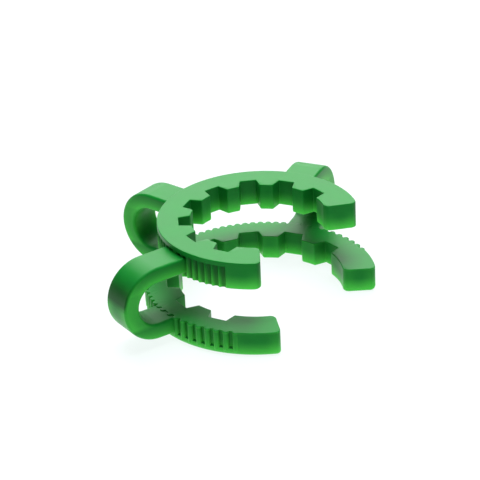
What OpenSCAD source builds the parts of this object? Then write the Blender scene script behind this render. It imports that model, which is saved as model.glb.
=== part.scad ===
// Ground glass joint clip: one moulded piece in green acetal.
// Two C-shaped jaws, one over the other, are joined by three sprung loops on their outer walls.
// The upper jaw grips the tube of the inner cone, the lower jaw hooks under the rim of the outer
// joint, and the loops pull the two together.
// +Z is up. The axis of both jaws is Z, the lower jaw rests on z = 0, the mouth of the jaws opens
// towards +X and the middle loop stands at -X. Lengths in millimetres, angles in degrees.

/* [Upper jaw] */
// Diameter across the tips of the upper jaw's teeth
upper_bore_d = 22.8; // [18:0.1:26]
// Radial width of the upper jaw, tooth tip to outer wall
upper_width = 5.6; // [4.5:0.1:8]
// Height of the upper jaw
upper_height = 4.8; // [3.5:0.1:7]
// Angle of the upper jaw's mouth
upper_mouth = 100; // [85:1:112]

/* [Lower jaw] */
// Diameter across the tips of the lower jaw's teeth
lower_bore_d = 28; // [23:0.1:33]
// Radial width of the lower jaw, tooth tip to its plain outer wall
lower_width = 5.6; // [4.5:0.1:8]
// Height of the lower jaw
lower_height = 4.4; // [3.4:0.1:7]
// Angle of the lower jaw's mouth
lower_mouth = 83; // [68:1:100]
// Clear height between the two jaws, where the two glass rims sit
rim_gap = 6.6; // [5:0.1:10]

/* [Teeth] */
// Number of notches in each jaw, the middle of the jaw being a tooth
notch_count = 8; // [4:2:8]
// Angle from one notch to the next
notch_pitch = 29.1; // [24:0.1:30]
// Angle of a notch at its mouth
notch_mouth = 17.8; // [14:0.1:20]
// Angle of a notch at its floor
notch_floor = 12; // [8:0.1:14]
// Depth of a notch
notch_depth = 2; // [1:0.1:2.6]

/* [Loops] */
// Angle from the middle loop to each side loop
loop_angle = 73.6; // [60:1:78]
// How far the loops stand out from the lower jaw's plain wall
loop_out = 9; // [7.5:0.1:14]
// Width of the strap
loop_width = 5.9; // [3.5:0.1:7]
// Thickness of the strap
loop_thickness = 2.8; // [1.6:0.1:3.2]
// Radius of the strap's long edges
loop_edge = 0.5; // [0.2:0.1:0.8]
// How far the strap passes over the underside of the upper jaw
loop_step = 0.7; // [0.1:0.1:1]
// How far the strap lies under the top of the lower jaw
loop_sink = 0.15; // [0.1:0.05:0.5]

/* [Ribs on the outer walls] */
// Angle from one groove of the upper jaw to the next, between a side loop and the plain end
groove_pitch = 4.3; // [3.8:0.1:6]
// Number of grooves from the middle of one loop to the middle of the next
groove_count = 17; // [10:1:20]
// Depth of the upper jaw's grooves
groove_depth = 0.36; // [0.2:0.02:0.5]
// Radius of the upper jaw's grooves
groove_r = 0.6; // [0.5:0.05:0.7]
// Plain edge left over the upper grooves
upper_lip = 0.8; // [0.5:0.1:1.5]
// Angle from one rib of the lower jaw to the next, between a side loop and the plain end
rib_pitch = 4.85; // [4:0.1:6]
// Number of ribs from the middle of one loop to the middle of the next
rib_count = 18; // [10:1:19]
// Radius of the lower jaw's ribs
rib_r = 0.6; // [0.5:0.05:0.95]
// How far a lower rib stands over the plain wall
rib_proud = 0.2; // [0.1:0.05:0.4]
// Depth of the hollows between the lower ribs
rib_hollow = 0.35; // [0.2:0.05:0.45]
// Plain edge left under the lower ribs
lower_lip = 1.2; // [0.8:0.1:1.8]
// Angle of the plain wall at each end of the upper jaw
upper_plain = 19.3; // [14:0.5:26]
// Angle of the plain wall at each end of the lower jaw, from the crest of its last rib
lower_plain = 22.2; // [14:0.1:28]

/* [Rounded edges] */
// Radius of the upright corners at the ends of the jaws
corner_r = 1; // [0.6:0.1:1.4]
// Radius of the lower edge of the upper jaw's outer wall
upper_edge_r = 0.2; // [0.2:0.1:1]
// Radius of the lower edge of the lower jaw's outer wall
lower_edge_r = 0.9; // [0.2:0.1:1]
// Radius of the lower edges of the tooth tips
tip_edge_r = 0.4; // [0.2:0.1:0.6]
// Radius of the lower edge of each end face
end_edge_r = 0.5; // [0.3:0.1:1.2]

/* [Hidden] */
$fn = 96;
over = 1;                                        // how far cutters run past a face
back = 180;                                      // direction of the middle loop
upper_z = lower_height + rim_gap;                // underside of the upper jaw
total_height = upper_z + upper_height;
upper_r = upper_bore_d/2;                        // tooth tips
lower_r = lower_bore_d/2;
upper_out = upper_r + upper_width;               // outer walls
lower_out = lower_r + lower_width;
eye_r = (rim_gap + loop_step + loop_sink)/2;     // inside radius of a loop
eye_z = lower_height - loop_sink + eye_r;        // loop axis over the base
strap_r = eye_r + loop_thickness;                // outside radius of a loop
eye_x = lower_out + loop_out - strap_r;          // loop axis from the jaw axis
strap_in = 1.5;                                  // how deep the strap ends run into the jaws
colour = [0.16, 0.55, 0.22];

// A rounded rectangle centred on the origin: w along x, h along y, corner radius r.
module rounded_rect(w, h, r) {
    square([w - 2*r, h], center = true);
    square([w, h - 2*r], center = true);
    for (x = [-1, 1], y = [-1, 1])
        translate([x*(w/2 - r), y*(h/2 - r)]) circle(r);
}

// The section of a jaw from radius ri to ro and height h, its lower corners rounded: the outer one
// to q, the one at the tooth tips to tip_edge_r.
module jaw_section(ri, ro, h, q) {
    t = tip_edge_r;
    translate([ri + t, 0]) square([ro - ri - q - t, h]);
    translate([ri, t]) square([(ro - ri)/2, h - t]);
    translate([(ri + ro)/2, q]) square([(ro - ri)/2, h - q]);
    translate([ri + t, t]) circle(t);
    translate([ro - q, q]) circle(q);
}

// The plan between two directions a0 and a1, less than half a turn apart, out to radius r.
module sector(a0, a1, r) {
    m = (a0 + a1)/2;
    k = r/cos((a1 - a0)/4);
    polygon([[0, 0], r*[cos(a0), sin(a0)], k*[cos((a0 + m)/2), sin((a0 + m)/2)],
             k*[cos((a1 + m)/2), sin((a1 + m)/2)], r*[cos(a1), sin(a1)]]);
}

// The plan of one notch at +X: flanks through the mouth and floor points, an arc for its floor.
module notch(r) {
    floor_r = r + notch_depth;
    mx = r*cos(notch_mouth/2);
    my = r*sin(notch_mouth/2);
    fx = floor_r*cos(notch_floor/2);
    fy = floor_r*sin(notch_floor/2);
    slope = (my - fy)/(fx - mx);
    x0 = mx - over;
    x1 = fx + over;
    y0 = my + slope*over;
    y1 = fy - slope*over;
    intersection() {
        polygon([[x0, -y0], [x1, -y1], [x1, y1], [x0, y0]]);
        circle(floor_r);
    }
}

// What rounds the two upright corners of a jaw's end face, which lies along +X with the jaw
// on its +Y side.
module corner_cuts(ri, ro) {
    q = corner_r;
    xo = sqrt((ro - q)*(ro - q) - q*q);
    xi = sqrt((ri + q)*(ri + q) - q*q);
    difference() {
        polygon([[xo, q], [xo, -over], [ro + over, -over],
                 (ro + over)/(ro - q)*[ro - q, q], (ro + over)/(ro - q)*[xo, q]]);
        translate([xo, q]) circle(q);
    }
    difference() {
        polygon([[xi, q], [xi, -over], [ri - over, -over], (ri - over)/(ri + q)*[xi, q]]);
        translate([xi, q]) circle(q);
    }
}

// What rounds the lower edge of that end face.
module end_edge_cut(ri, ro) {
    translate([ri - over, 0, 0]) rotate([90, 0, 90]) linear_extrude(ro - ri + 2*over)
        difference() {
            translate([-over, -over]) square(end_edge_r + over);
            translate([end_edge_r, end_edge_r]) circle(end_edge_r);
        }
}

// A jaw standing on z = 0 without its ribs: tooth-tip radius ri, outer radius ro, height h and
// the lower edge of its outer wall rounded to q.
module jaw_body(ri, ro, h, mouth, q) {
    difference() {
        rotate([0, 0, mouth/2]) rotate_extrude(angle = 360 - mouth) jaw_section(ri, ro, h, q);
        for (i = [0:notch_count - 1])
            rotate([0, 0, back + (i - (notch_count - 1)/2)*notch_pitch])
                translate([0, 0, -over]) linear_extrude(h + 2*over) notch(ri);
        for (side = [0, 1]) mirror([0, side, 0]) rotate([0, 0, mouth/2]) {
            translate([0, 0, -over]) linear_extrude(h + 2*over) corner_cuts(ri, ro);
            end_edge_cut(ri, ro);
        }
    }
}

// The directions of a jaw's grooves or ribs on one side of the middle loop: an even row between the
// loops, then a row at its own pitch that runs back from angle last.
function row(count, pitch, last) = concat(
    [for (i = [0:count - 1]) (i + 0.5)*loop_angle/count],
    [for (i = [0:floor((last - loop_angle)/pitch - 0.5)]) last - i*pitch]);

// What cuts the grooves of the upper jaw, which stands on z = 0.
module upper_grooves() {
    last = back - upper_mouth/2 - upper_plain - groove_pitch/2;
    translate([0, 0, -over]) linear_extrude(over + upper_height - upper_lip)
        for (a = row(groove_count, groove_pitch, last), side = [-1, 1])
            rotate(back + side*a) translate([upper_out + groove_r - groove_depth, 0])
                circle(groove_r, $fn = 48);
}

// The plan of the lower jaw's ribs, whose crests stand proud of the plain wall.
module rib_plan() {
    last = back - lower_mouth/2 - lower_plain;
    for (a = row(rib_count, rib_pitch, last), side = [-1, 1])
        rotate(back + side*a) translate([lower_out + rib_proud - rib_r, 0])
            circle(rib_r, $fn = 48);
}

// The lower jaw with its ribs, standing on z = 0. The wall between the ribs is hollowed, a plain
// lip is left under them, and jaw and ribs are trimmed together at the top.
module lower_jaw() {
    last = back - lower_mouth/2 - lower_plain;
    tall = lower_height + over;
    difference() {
        union() {
            difference() {
                jaw_body(lower_r, lower_out, tall, lower_mouth, lower_edge_r);
                translate([0, 0, lower_lip]) linear_extrude(tall) difference() {
                    circle(lower_out + over);
                    circle(lower_out - rib_hollow);
                    sector(-(back - last), back - last, 2*lower_out);
                    rib_plan();
                }
            }
            translate([0, 0, lower_lip]) linear_extrude(tall) rib_plan();
        }
        translate([0, 0, lower_height]) linear_extrude(tall) circle(lower_out + over);
    }
}

// The upper jaw with its grooves, standing on z = 0.
module upper_jaw() {
    difference() {
        jaw_body(upper_r, upper_out, upper_height, upper_mouth, upper_edge_r);
        upper_grooves();
    }
}

// One sprung loop at +X: two straight strap ends and a half turn between them.
module loop() {
    translate([eye_x, 0, eye_z]) rotate([90, 0, 0]) rotate_extrude(angle = 180, start = -90)
        translate([(eye_r + strap_r)/2, 0]) rounded_rect(loop_thickness, loop_width, loop_edge);
    for (end = [[upper_out, 1], [lower_out, -1]]) {
        x0 = end[0] - strap_in;
        translate([x0, 0, eye_z + end[1]*(eye_r + strap_r)/2]) rotate([90, 0, 90])
            linear_extrude(eye_x - x0) rounded_rect(loop_width, loop_thickness, loop_edge);
    }
}

// The whole clip.
module clip() {
    color(colour) union() {
        lower_jaw();
        translate([0, 0, upper_z]) upper_jaw();
        for (a = [-loop_angle, 0, loop_angle]) rotate([0, 0, back + a]) loop();
    }
}

clip();
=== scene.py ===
import math

import bmesh
import bpy
from mathutils import Matrix, Vector


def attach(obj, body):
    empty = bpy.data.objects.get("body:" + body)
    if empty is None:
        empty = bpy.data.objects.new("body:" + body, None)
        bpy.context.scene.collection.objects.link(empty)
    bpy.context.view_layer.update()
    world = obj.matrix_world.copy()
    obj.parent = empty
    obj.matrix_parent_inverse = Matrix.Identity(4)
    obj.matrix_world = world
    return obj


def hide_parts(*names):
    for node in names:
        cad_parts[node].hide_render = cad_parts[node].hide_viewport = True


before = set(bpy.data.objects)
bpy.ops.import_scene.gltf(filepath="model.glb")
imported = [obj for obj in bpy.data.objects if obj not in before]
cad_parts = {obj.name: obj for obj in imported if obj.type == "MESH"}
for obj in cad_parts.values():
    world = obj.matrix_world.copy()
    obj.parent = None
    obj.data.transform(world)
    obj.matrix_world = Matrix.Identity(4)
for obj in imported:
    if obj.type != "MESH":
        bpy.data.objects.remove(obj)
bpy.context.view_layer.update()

MM = 0.001
DEG = math.radians(1)

# ---- the clip's own sizes ----
# A jaw's tooth tips and its wall are radii from its axis. The lower mouth is 0.15 degrees wider than
# the CAD model's, and the loops reach 0.001 mm less far, which keeps the rounded ends in its box.
UPPER = dict(tip=11.4 * MM, wall=17.0 * MM, low=11.0 * MM, high=15.8 * MM, mouth=100 * DEG,
             wall_edge=0.2 * MM)
LOWER = dict(tip=14.0 * MM, wall=19.6 * MM, low=0.0, high=4.4 * MM, mouth=83.15 * DEG,
             wall_edge=0.9 * MM)
CORNER = 1.0 * MM                         # rounding of the upright corners of the end faces
CORNER_ROOM = 0.3 * MM                    # what is cleared past that rounding
END_EDGE = 0.5 * MM                       # rounding of the end faces' lower edge
TIP_EDGE = 0.45 * MM                      # of the teeth's lower edge
NOTCH_EDGE = 0.2 * MM                     # of the notches
CRISP_EDGE = 0.14 * MM                    # of the upper edges, where the mould parts
NOTCHES = 8
NOTCH_PITCH = 29.1 * DEG
NOTCH_MOUTH = 17.8 * DEG
NOTCH_FLOOR = 12 * DEG
NOTCH_DEPTH = 2.0 * MM
NOTCH_EXTRA = 0.04 * MM                   # how far their flat floors lie past their corners' chord
LOOP_ANGLE = 73.6 * DEG
STRAP_WIDTH = 5.9 * MM
STRAP_THICKNESS = 2.8 * MM
STRAP_EDGE = 0.5 * MM
STRAP_IN = 1.5 * MM                       # how deep the strap ends run into the jaws
EYE_R = 3.725 * MM
EYE_Z = 7.975 * MM
LOOP_REACH = 28.599 * MM
GROOVE_R = 0.6 * MM
GROOVE_DEPTH = 0.44 * MM
GROOVES_PER_BAY = 17                      # between the middle loop and a side one
GROOVE_PITCH = 4.3 * DEG                  # from a side loop on
UPPER_PLAIN = 19.3 * DEG                  # how much of the wall is plain beside the mouth
UPPER_LIP = 0.8 * MM                      # how far below the top the grooves end
RIB_R = 0.55 * MM
RIB_PROUD = 0.2 * MM                      # how far the ribs stand out of the plain wall
RIB_HOLLOW = 0.42 * MM                    # how deep the wall is hollowed between them
HOLLOW_SLOPE = 0.6 * MM                   # rise of the slope at the foot of the hollows
RIBS_PER_BAY = 18
RIB_PITCH = 4.85 * DEG
LOWER_PLAIN = 22.2 * DEG
LOWER_LIP = 0.9 * MM                      # how far above the bottom the ribs start

# ---- how it is made ----
OVER = 1.0 * MM                           # how far a cutter runs past a face
SAME_PLACE = 1e-7                         # two points closer than this, in metres, are one
SAME_LEVEL = 1e-6                         # and two places closer than this are level
NEARLY_FLAT = 0.5 * DEG
SHARP = 20 * DEG
SMOOTH = 32 * DEG
BAND_STEPS, LOOP_STEPS, ROD_SIDES = 144, 36, 20
CORNER_STEPS, EDGE_STEPS, STRAP_STEPS, RIM_STEPS = 6, 5, 4, 3


# ---- small helpers ----
def deselect_all():
    if bpy.context.object and bpy.context.object.mode != "OBJECT":
        bpy.ops.object.mode_set(mode="OBJECT")
    bpy.ops.object.select_all(action="DESELECT")


def take(obj):
    """Makes obj the only selected and the active object."""
    deselect_all()
    obj.select_set(True)
    bpy.context.view_layer.objects.active = obj
    return obj


def edit(obj, verts=None, edges=None, faces=None):
    """Enters edit mode on obj with only what the test picks selected."""
    take(obj)
    bpy.ops.object.mode_set(mode="EDIT")
    bpy.ops.mesh.select_all(action="DESELECT")
    mode = "VERT" if verts else "EDGE" if edges else "FACE"
    bpy.ops.mesh.select_mode(type=mode)
    mesh = bmesh.from_edit_mesh(obj.data)
    for kind, test in ((mesh.verts, verts), (mesh.edges, edges), (mesh.faces, faces)):
        for part in kind if test else ():
            part.select_set(bool(test(part)))
    mesh.select_flush_mode()
    bmesh.update_edit_mesh(obj.data)


def settle(obj):
    """Applies obj's place, so that it lies in its mesh."""
    take(obj)
    bpy.ops.object.transform_apply(location=True, rotation=True, scale=True)
    return obj


def turned_copy(obj, angle):
    take(obj)
    bpy.ops.object.duplicate(linked=False)
    new = bpy.context.object
    new.rotation_euler = (0, 0, angle)
    return settle(new)


def join(objects, name):
    deselect_all()
    for o in objects:
        o.select_set(True)
    bpy.context.view_layer.objects.active = objects[0]
    bpy.ops.object.join()
    objects[0].name = name
    return objects[0]


def combine(obj, tool, operation="DIFFERENCE"):
    """Cuts tool out of obj, or adds it, and removes the tool."""
    take(obj)
    boolean = obj.modifiers.new("combine", "BOOLEAN")
    boolean.operation, boolean.object, boolean.solver = operation, tool, "MANIFOLD"
    bpy.ops.object.modifier_apply(modifier=boolean.name)
    bpy.data.objects.remove(tool)
    return obj


def outward(obj):
    """Merges obj's doubles and points its faces outwards."""
    edit(obj)
    bpy.ops.mesh.select_all(action="SELECT")
    bpy.ops.mesh.remove_doubles(threshold=SAME_PLACE)
    bpy.ops.mesh.normals_make_consistent(inside=False)
    if bmesh.from_edit_mesh(obj.data).calc_volume(signed=True) < 0:
        bpy.ops.mesh.flip_normals()
    bpy.ops.object.mode_set(mode="OBJECT")
    return obj


def split_hollow_faces(obj):
    """Splits each face with a hollow in its outline into convex ones, which shade cleanly."""
    edit(obj)
    bpy.ops.mesh.select_all(action="SELECT")
    bpy.ops.mesh.vert_connect_concave()
    bpy.ops.object.mode_set(mode="OBJECT")
    return obj


# ---- the jaws ----
def band(inner, outer, low, high, reach):
    """A plain C of rectangular section, reaching to the angle reach on each side of the back."""
    deselect_all()
    bpy.ops.mesh.primitive_plane_add(size=1, rotation=(math.pi / 2, 0, 0))
    ring = bpy.context.object
    ring.dimensions = (outer - inner, high - low, 0)
    ring.location = ((outer + inner) / 2, 0, (low + high) / 2)
    settle(ring)
    ring.rotation_euler = (0, 0, math.pi - reach)
    settle(ring)
    edit(ring, faces=lambda f: True)
    bpy.ops.mesh.spin(steps=BAND_STEPS, angle=-2 * reach, center=(0, 0, 0), axis=(0, 0, 1))
    bpy.ops.object.mode_set(mode="OBJECT")
    return outward(ring)


def weighted_bevel(obj, weight, width, segments):
    """Rounds each edge to its own share, weight(edge), of width."""
    mesh = bmesh.new()
    mesh.from_mesh(obj.data)
    layer = (mesh.edges.layers.float.get("bevel_weight_edge")
             or mesh.edges.layers.float.new("bevel_weight_edge"))
    for e in mesh.edges:
        e[layer] = weight(e)
    mesh.to_mesh(obj.data)
    mesh.free()
    take(obj)
    bevel = obj.modifiers.new("rounding", "BEVEL")
    bevel.limit_method, bevel.width, bevel.segments = "WEIGHT", width, segments
    bevel.use_clamp_overlap = False
    bpy.ops.object.modifier_apply(modifier=bevel.name)
    return obj


def notch_cutters(tip, low, high):
    """The eight notches of a jaw, as tapered blocks round its axis."""
    floor = tip + NOTCH_DEPTH
    half_mouth, half_floor = tip * math.sin(NOTCH_MOUTH / 2), floor * math.sin(NOTCH_FLOOR / 2)
    x_mouth, x_floor = tip * math.cos(NOTCH_MOUTH / 2), floor * math.cos(NOTCH_FLOOR / 2)
    slope = (half_mouth - half_floor) / (x_floor - x_mouth)
    deselect_all()
    bpy.ops.mesh.primitive_cube_add(size=1)
    block = bpy.context.object
    x0, x1 = x_mouth - OVER, x_floor + NOTCH_EXTRA
    block.dimensions = (x1 - x0, 2 * half_floor, high - low + 2 * OVER)
    block.location = ((x0 + x1) / 2, 0, (low + high) / 2)
    settle(block)
    edit(block, verts=lambda v: v.co.x < x0 + SAME_PLACE)
    bpy.ops.transform.resize(value=(1, (half_mouth + slope * OVER) / half_floor, 1))
    bpy.ops.object.mode_set(mode="OBJECT")
    places = [math.pi + (i - (NOTCHES - 1) / 2) * NOTCH_PITCH for i in range(NOTCHES)]
    copies = [turned_copy(block, a) for a in places]
    bpy.data.objects.remove(block)
    return outward(join(copies, "notch_cutters"))


def row(count, pitch, last):
    """Where a jaw's grooves or ribs stand on both sides of the middle loop, in order."""
    bay = [(i + 0.5) * LOOP_ANGLE / count for i in range(count)]
    side = [last - i * pitch for i in range(int((last - LOOP_ANGLE) / pitch + 0.5))]
    return sorted(s * a for a in bay + side for s in (-1, 1))


def rods(places, centre_r, r, low, high, rim=0):
    """Upright rods round the axis, one at each place, their upper rims rounded."""
    deselect_all()
    bpy.ops.mesh.primitive_cylinder_add(vertices=ROD_SIDES, radius=r, depth=high - low,
                                        location=(centre_r, 0, (low + high) / 2))
    rod = settle(bpy.context.object)
    if rim:
        edit(rod, edges=lambda e: all(v.co.z > high - SAME_PLACE for v in e.verts))
        bpy.ops.mesh.bevel(offset=rim, segments=RIM_STEPS)
        bpy.ops.object.mode_set(mode="OBJECT")
    copies = [turned_copy(rod, math.pi + a) for a in places]
    bpy.data.objects.remove(rod)
    return join(copies, "rods")


def mid(e):
    return (e.verts[0].co + e.verts[1].co) / 2


def upright(e):
    return abs(e.verts[0].co.z - e.verts[1].co.z) > SAME_LEVEL


def sharp(e):
    return len(e.link_faces) == 2 and e.calc_face_angle() > SHARP


def from_end(point, mouth):
    """How far a point lies from the nearer end face of a jaw."""
    return point.xy.length * math.sin(abs(math.atan2(point.y, point.x)) - mouth / 2)


def jaw(name, tip, wall, low, high, mouth, wall_edge):
    """A jaw without its ribs: a C with notches, every edge rounded as the mould leaves it."""
    body = band(tip, wall, low, high, math.pi - mouth / 2)
    body.name = name
    combine(body, notch_cutters(tip, low, high))
    edit(body, faces=lambda f: True)
    bpy.ops.mesh.dissolve_limited(angle_limit=NEARLY_FLAT)

    def is_end(e):
        return upright(e) and abs(from_end(mid(e), mouth)) < SAME_LEVEL

    # The wall's seams beside the corners go, to leave room for the rounding.
    mesh = bmesh.from_edit_mesh(body.data)
    corners = [(mid(e).xy, CORNER + CORNER_ROOM if is_end(e) else TIP_EDGE)
               for e in mesh.edges if upright(e) and sharp(e)]
    edit(body, edges=lambda e: upright(e) and not sharp(e)
         and any((mid(e).xy - place).length < room for place, room in corners))
    bpy.ops.mesh.dissolve_edges(use_verts=True)
    bpy.ops.object.mode_set(mode="OBJECT")

    def width(e):
        if not sharp(e):
            return 0
        if upright(e):
            return NOTCH_EDGE
        if mid(e).z > low + SAME_LEVEL:
            return CRISP_EDGE
        side = wall_edge if mid(e).xy.length > (tip + wall) / 2 else TIP_EDGE
        return END_EDGE + (side - END_EDGE) * min(1, max(0, from_end(mid(e), mouth)) / CORNER)

    weighted_bevel(body, is_end, CORNER, CORNER_STEPS)
    weighted_bevel(body, lambda e: width(e) / CORNER, CORNER, EDGE_STEPS)
    return split_hollow_faces(outward(body))


def upper_jaw():
    """The upper jaw and its grooves, cut in two rounds so that no cutter holds two neighbours."""
    body = jaw("upper_jaw", **UPPER)
    last = math.pi - UPPER["mouth"] / 2 - UPPER_PLAIN - GROOVE_PITCH / 2
    for start in (0, 1):
        places = row(GROOVES_PER_BAY, GROOVE_PITCH, last)[start::2]
        combine(body, rods(places, UPPER["wall"] + GROOVE_R - GROOVE_DEPTH, GROOVE_R,
                           UPPER["low"] - OVER, UPPER["high"] - UPPER_LIP))
    return body


def lower_jaw():
    """The lower jaw: its wall is hollowed between the ribs, and then the ribs are added."""
    body = jaw("lower_jaw", **LOWER)
    wall, high = LOWER["wall"], LOWER["high"]
    last = math.pi - LOWER["mouth"] / 2 - LOWER_PLAIN
    places = row(RIBS_PER_BAY, RIB_PITCH, last)
    centre_r = wall + RIB_PROUD - RIB_R
    hollow = band(wall - RIB_HOLLOW, wall + OVER, LOWER_LIP, high + OVER, last)
    edit(hollow, verts=lambda v: v.co.z < LOWER_LIP + SAME_PLACE and v.co.xy.length < wall)
    bpy.ops.transform.translate(value=(0, 0, HOLLOW_SLOPE))
    bpy.ops.object.mode_set(mode="OBJECT")
    combine(body, hollow)
    for start in (0, 1):
        ribs = rods(places[start::2], centre_r, RIB_R, LOWER_LIP, high, rim=CRISP_EDGE)
        combine(body, ribs, "UNION")
    return body


# ---- the loops ----
def loop():
    """One strap at +X: in over the gap, round half a turn and back under it."""
    outer_r = EYE_R + STRAP_THICKNESS
    middle = EYE_R + STRAP_THICKNESS / 2
    eye_x = LOOP_REACH - outer_r
    start, stop = UPPER["wall"] - STRAP_IN, LOWER["wall"] - STRAP_IN
    deselect_all()
    bpy.ops.mesh.primitive_plane_add(size=1, rotation=(0, math.pi / 2, 0))
    strap = bpy.context.object
    strap.name = "strap"
    strap.dimensions = (STRAP_THICKNESS, STRAP_WIDTH, 0)
    strap.location = (start, 0, EYE_Z + middle)
    settle(strap)
    edit(strap, verts=lambda v: True)
    bpy.ops.mesh.bevel(offset=STRAP_EDGE, segments=STRAP_STEPS, affect="VERTICES")
    bpy.ops.mesh.select_all(action="SELECT")
    bpy.ops.mesh.extrude_region_move(TRANSFORM_OT_translate={"value": (eye_x - start, 0, 0)})
    bpy.ops.mesh.spin(steps=LOOP_STEPS, angle=-math.pi, center=(eye_x, 0, EYE_Z), axis=(0, 1, 0))
    bpy.ops.mesh.extrude_region_move(TRANSFORM_OT_translate={"value": (stop - eye_x, 0, 0)})
    bpy.ops.object.mode_set(mode="OBJECT")
    return outward(strap)


def moulding():
    """The whole clip: both jaws and the three loops as one closed skin."""
    clip = upper_jaw()
    combine(clip, lower_jaw(), "UNION")
    first = loop()
    for a in (-LOOP_ANGLE, 0, LOOP_ANGLE):
        combine(clip, turned_copy(first, math.pi + a), "UNION")
    bpy.data.objects.remove(first)
    clip.name = clip.data.name = "moulding"
    take(split_hollow_faces(clip))
    bpy.ops.object.shade_smooth_by_angle(angle=SMOOTH)
    weighted = clip.modifiers.new("even_shading", "WEIGHTED_NORMAL")
    weighted.keep_sharp, weighted.weight = True, 80
    bpy.ops.object.modifier_apply(modifier=weighted.name)
    return clip


# ---- materials ----
def linear(code):
    """An sRGB hex colour as linear RGBA."""
    parts = [int(code[i:i + 2], 16) / 255 for i in (1, 3, 5)]
    return [c / 12.92 if c <= 0.04045 else ((c + 0.055) / 1.055) ** 2.4 for c in parts] + [1.0]


def new_material(name):
    """An empty node material and its shader."""
    material = bpy.data.materials.new(name)
    material.use_nodes = True
    material.node_tree.nodes.clear()
    shader = node(material, "ShaderNodeBsdfPrincipled")
    node(material, "ShaderNodeOutputMaterial", Surface=shader.outputs["BSDF"])
    return material, shader


def node(material, kind, settings=None, stops=None, **inputs):
    """Adds a node. Each input is given a value or, from another node's output, a link. A colour
    ramp is also given its stops, each a place with a colour or a grey level."""
    new = material.node_tree.nodes.new(kind)
    for key, value in (settings or {}).items():
        setattr(new, key, value)
    if stops:
        points = new.color_ramp.elements
        while len(points) < len(stops):
            points.new(0.5)
        for point, (place, colour) in zip(points, stops):
            point.position = place
            point.color = colour if isinstance(colour, list) else [colour] * 3 + [1.0]
    for key, value in inputs.items():
        plug(material, new, key, value)
    return new


def plug(material, target, key, value):
    """Sets or links one input of a node, named or, as _0, numbered."""
    numbered = key[0] == "_" and key[1:].isdigit()
    socket = target.inputs[int(key[1:]) if numbered else key.replace("_", " ")]
    if isinstance(value, bpy.types.NodeSocket):
        material.node_tree.links.new(value, socket)
    else:
        socket.default_value = value


def painted_edge_glow(material, place, facing, tilt):
    """How much painted glow goes into the colour, standing in for the bench's light that leaks out
    of the plastic. That light enters from below, so the glow is painted most at lower edges, and not
    on faces that look up or near the tops of the walls."""
    escape = 2.6 * MM                     # how far from an edge the glow is painted
    lift = (0, 0, 1.2)                    # tips the normal up, so that what lies below counts most
    raised = node(material, "ShaderNodeVectorMath", {"operation": "ADD"}, _0=facing,
                  _1=lift).outputs[0]
    tipped = node(material, "ShaderNodeVectorMath", {"operation": "NORMALIZE"},
                  _0=raised).outputs[0]
    near_edge = node(material, "ShaderNodeAmbientOcclusion",
                     {"inside": True, "only_local": True, "samples": 16},
                     Distance=escape, Normal=tipped).outputs["AO"]
    painted_glow = node(material, "ShaderNodeValToRGB", stops=[(0.3, 1.0), (1.0, 0.0)],
                Fac=near_edge).outputs["Color"]
    flat = node(material, "ShaderNodeMapRange", Value=tilt, From_Min=0.2, From_Max=0.7,
                To_Min=1.0, To_Max=0.0).outputs["Result"]
    # By height: strong at the bench, weak at the lower jaw's top, strong again from the upper jaw's
    # bottom on, and gone near its top.
    height = node(material, "ShaderNodeSeparateXYZ", Vector=place).outputs["Z"]
    level = node(material, "ShaderNodeMapRange", Value=height,
                 From_Max=UPPER["high"]).outputs["Result"]
    low = node(material, "ShaderNodeValToRGB",
               stops=[(0.0, 1.0), (0.25, 0.22), (0.30, 0.8), (0.68, 0.8), (0.70, 1.0), (0.92, 0.0)],
               Fac=level).outputs["Color"]
    for share in (flat, low):
        painted_glow = node(material, "ShaderNodeMath", {"operation": "MULTIPLY"}, _0=painted_glow,
                    _1=share).outputs[0]
    return painted_glow


def painted_bend_shade(material, tilt, reach, turned):
    """Painted shade on the outer bends of the loops, where they look out and up; it also keeps the
    painted glow off them."""
    jaws_end, loops_begin = 20.5 * MM, 22 * MM
    beyond = node(material, "ShaderNodeMapRange", Value=reach, From_Min=jaws_end,
                  From_Max=loops_begin).outputs["Result"]
    slope = node(material, "ShaderNodeMapRange", Value=tilt, From_Min=-1.0,
                 From_Max=1.0).outputs["Result"]
    leaning = node(material, "ShaderNodeValToRGB",
                   stops=[(0.5, 0.0), (0.6, 0.9), (0.76, 0.9), (0.96, 0.0)],
                   Fac=slope).outputs["Color"]
    bend_shade = turned
    for share in (beyond, leaning):
        bend_shade = node(material, "ShaderNodeMath", {"operation": "MULTIPLY"}, _0=bend_shade,
                     _1=share).outputs[0]
    return bend_shade


def moulded_relief(material, place):
    """The mould's fine spark-eroded texture, 0.35 mm across so that it shows, over slow waves of
    shrinkage."""
    grain_size, wave_size = 0.35 * MM, 4 * MM
    grain = node(material, "ShaderNodeTexNoise", Vector=place, Scale=1 / grain_size,
                 Detail=2).outputs["Fac"]
    waves = node(material, "ShaderNodeTexNoise", Vector=place, Scale=1 / wave_size,
                 Detail=1).outputs["Fac"]
    relief = node(material, "ShaderNodeBump", Height=waves, Strength=0.25,
                  Distance=0.05 * MM).outputs["Normal"]
    return node(material, "ShaderNodeBump", Height=grain, Strength=0.12, Distance=0.02 * MM,
                Normal=relief).outputs["Normal"]


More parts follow.
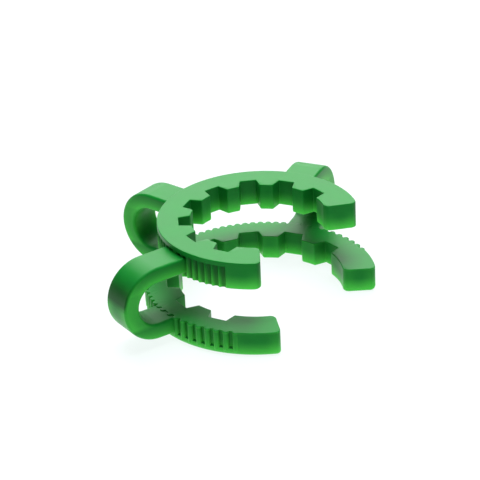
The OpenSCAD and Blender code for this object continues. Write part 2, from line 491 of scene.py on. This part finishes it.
def green_acetal():
    """Acetal, injection moulded and dyed through: deep green in its body, with faint flow marks and
    a soft satin gloss. Painted into its colour are a painted glow at the lower edges, where the real
    light leaks out, and painted shade on the loops' outer bends, in the upper jaw's grooves and
    under covering parts."""
    # The third colour is the painted shade's and the fourth the painted glow's.
    deep, middle, painted_shade_green, painted_glow_colour = map(linear, ("#107D2A", "#148B30", "#05420F", "#62F55A"))
    material, shader = new_material("green_acetal")
    place = node(material, "ShaderNodeTexCoord").outputs["Object"]
    facing = node(material, "ShaderNodeNewGeometry").outputs["Normal"]
    tilt = node(material, "ShaderNodeSeparateXYZ", Vector=facing).outputs["Z"]
    # How far a point is from the axis, and how squarely its face looks away from it.
    plan = node(material, "ShaderNodeVectorMath", {"operation": "MULTIPLY"}, _0=place,
                _1=(1, 1, 0)).outputs[0]
    reach = node(material, "ShaderNodeVectorMath", {"operation": "LENGTH"},
                 _0=plan).outputs["Value"]
    out = node(material, "ShaderNodeVectorMath", {"operation": "NORMALIZE"}, _0=plan).outputs[0]
    squarely = node(material, "ShaderNodeVectorMath", {"operation": "DOT_PRODUCT"}, _0=out,
                    _1=facing).outputs["Value"]
    turned = node(material, "ShaderNodeMapRange", Value=squarely, From_Min=0.3,
                  From_Max=0.9).outputs["Result"]
    # Flow marks: a slow noise over the body colour.
    flow_size = 6 * MM
    flow = node(material, "ShaderNodeTexNoise", Vector=place, Scale=1 / flow_size, Detail=3,
                Roughness=0.55, Distortion=0.6).outputs["Fac"]
    body = node(material, "ShaderNodeMix", {"data_type": "RGBA"}, _0=flow, _6=deep,
                _7=middle).outputs[2]
    # Painted shade on the loops' outer bends; the painted glow is kept off them.
    bend_shade = painted_bend_shade(material, tilt, reach, turned)
    outside_bend_shade = node(material, "ShaderNodeMath", {"operation": "SUBTRACT"}, _0=1.0, _1=bend_shade).outputs[0]
    # Painted glow at the lower edges, standing in for the light that leaks out there.
    painted_glow = node(material, "ShaderNodeMath", {"operation": "MULTIPLY"},
                _0=painted_edge_glow(material, place, facing, tilt), _1=outside_bend_shade).outputs[0]
    # Painted shade on the floors of the upper jaw's grooves, which makes them darker than the ridges
    # between them.
    groove_shade = 0.65
    shade_by_depth = node(material, "ShaderNodeMapRange", Value=reach, From_Min=UPPER["wall"] - GROOVE_DEPTH,
                From_Max=UPPER["wall"], To_Min=groove_shade, To_Max=0.0).outputs["Result"]
    floors = node(material, "ShaderNodeMath", {"operation": "MULTIPLY"}, _0=turned,
                  _1=shade_by_depth).outputs[0]
    # Mixes the painted bend shade, the painted edge glow and the painted groove shade into the
    # colour.
    colour = body
    for share, tint in ((bend_shade, painted_shade_green), (painted_glow, painted_glow_colour), (floors, painted_shade_green)):
        colour = node(material, "ShaderNodeMix", {"data_type": "RGBA"}, _0=share, _6=colour,
                      _7=tint).outputs[2]
    # Painted shade where a strap runs into a jaw, and on the lower jaw under the upper one: the
    # colour is darker where other parts cover it.
    cover_reach = 9 * MM
    covered = node(material, "ShaderNodeAmbientOcclusion", {"only_local": True, "samples": 16},
                   Distance=cover_reach).outputs["AO"]
    dim = node(material, "ShaderNodeValToRGB", stops=[(0.55, 0.78), (0.95, 1.0)],
               Fac=covered).outputs["Color"]
    colour = node(material, "ShaderNodeMix", {"data_type": "RGBA", "blend_type": "MULTIPLY"},
                  _0=1.0, _6=colour, _7=dim).outputs[2]
    gloss = node(material, "ShaderNodeMapRange", Value=flow, To_Min=0.34,
                 To_Max=0.42).outputs["Result"]
    for key, value in dict(Base_Color=colour, Normal=moulded_relief(material, place),
                           Roughness=gloss, IOR=1.48, Specular_IOR_Level=0.38,
                           Specular_Tint=linear("#86D494"), Subsurface_Weight=0.3,
                           Subsurface_Radius=(0.15, 1.0, 0.2), Subsurface_Scale=0.5 * MM).items():
        plug(material, shader, key, value)
    return material


def lit_table():
    """Opal acrylic, cast and lit from below: a matt grey sheet that sends up nearly all its own
    light, so that it looks an even white and leaves hardly any shadow."""
    mottle_size = 40 * MM
    material, shader = new_material("opal_acrylic")
    place = node(material, "ShaderNodeTexCoord").outputs["Object"]
    mottle = node(material, "ShaderNodeTexNoise", Vector=place, Scale=1 / mottle_size,
                  Detail=2).outputs["Fac"]
    colour = node(material, "ShaderNodeValToRGB",
                  stops=[(0.3, linear("#606464")), (0.7, linear("#646767"))],
                  Fac=mottle).outputs["Color"]
    for key, value in dict(Base_Color=colour, Roughness=0.75, Specular_IOR_Level=0.2,
                           Emission_Color=linear("#F6FCFB"), Emission_Strength=0.93).items():
        plug(material, shader, key, value)
    return material


# ---- the bench, the light and the camera ----
def bench():
    """A bench so wide that its edges are never seen."""
    deselect_all()
    bpy.ops.mesh.primitive_plane_add(size=8, location=(0, 0, 0))
    top = bpy.context.object
    top.name = "bench"
    top.data.materials.append(lit_table())


def softbox(name, place, size, radiance):
    """An oblong soft light of the given radiance, at place and facing the clip."""
    deselect_all()
    bpy.ops.object.light_add(type="AREA", location=place)
    light = bpy.context.object
    light.name = light.data.name = name
    light.data.shape, light.data.size, light.data.size_y = "RECTANGLE", *size
    light.data.energy = radiance * math.pi * size[0] * size[1]
    light.rotation_euler = Vector(place).to_track_quat("Z", "Y").to_euler()


def studio():
    """A dim white room with one soft light overhead and a wide one behind, for the tops' sheen."""
    world = bpy.data.worlds.new("studio")
    bpy.context.scene.world = world
    world.use_nodes = True
    room = world.node_tree.nodes["Background"]
    room.inputs["Color"].default_value = linear("#FAFDFF")
    room.inputs["Strength"].default_value = 0.1
    softbox("overhead", place=(-0.1, 0.12, 1.1), size=(0.8, 0.8), radiance=8.4)
    softbox("behind", place=(-0.85, 1.0, 0.75), size=(1.6, 1.1), radiance=3.2)
    bpy.context.scene.view_settings.view_transform = "Standard"


def camera():
    """A long lens, looking down past the left end of the jaws and very slightly tilted."""
    azimuth, elevation, roll = 40.5 * DEG, 27.84 * DEG, -2.88 * DEG
    target, distance = Vector((-2.452, -2.094, 11.306)) * MM, 369.05 * MM
    back = Vector((math.sin(azimuth) * math.cos(elevation),
                   -math.cos(azimuth) * math.cos(elevation), math.sin(elevation)))
    right = Vector((math.cos(azimuth), math.sin(azimuth), 0))
    turn = Matrix.Rotation(roll, 3, back)
    right, up = turn @ right, turn @ back.cross(right)
    deselect_all()
    bpy.ops.object.camera_add(location=target + distance * back)
    cam = bpy.context.object
    cam.rotation_euler = Matrix((right, up, back)).transposed().to_euler()
    cam.data.lens, cam.data.sensor_width = 164.55, 36
    cam.data.clip_start, cam.data.clip_end = 0.01, 20
    bpy.context.scene.camera = cam


clip = moulding()
clip.data.materials.clear()
clip.data.materials.append(green_acetal())
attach(clip, "root")
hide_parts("clip")
bench()
studio()
camera()
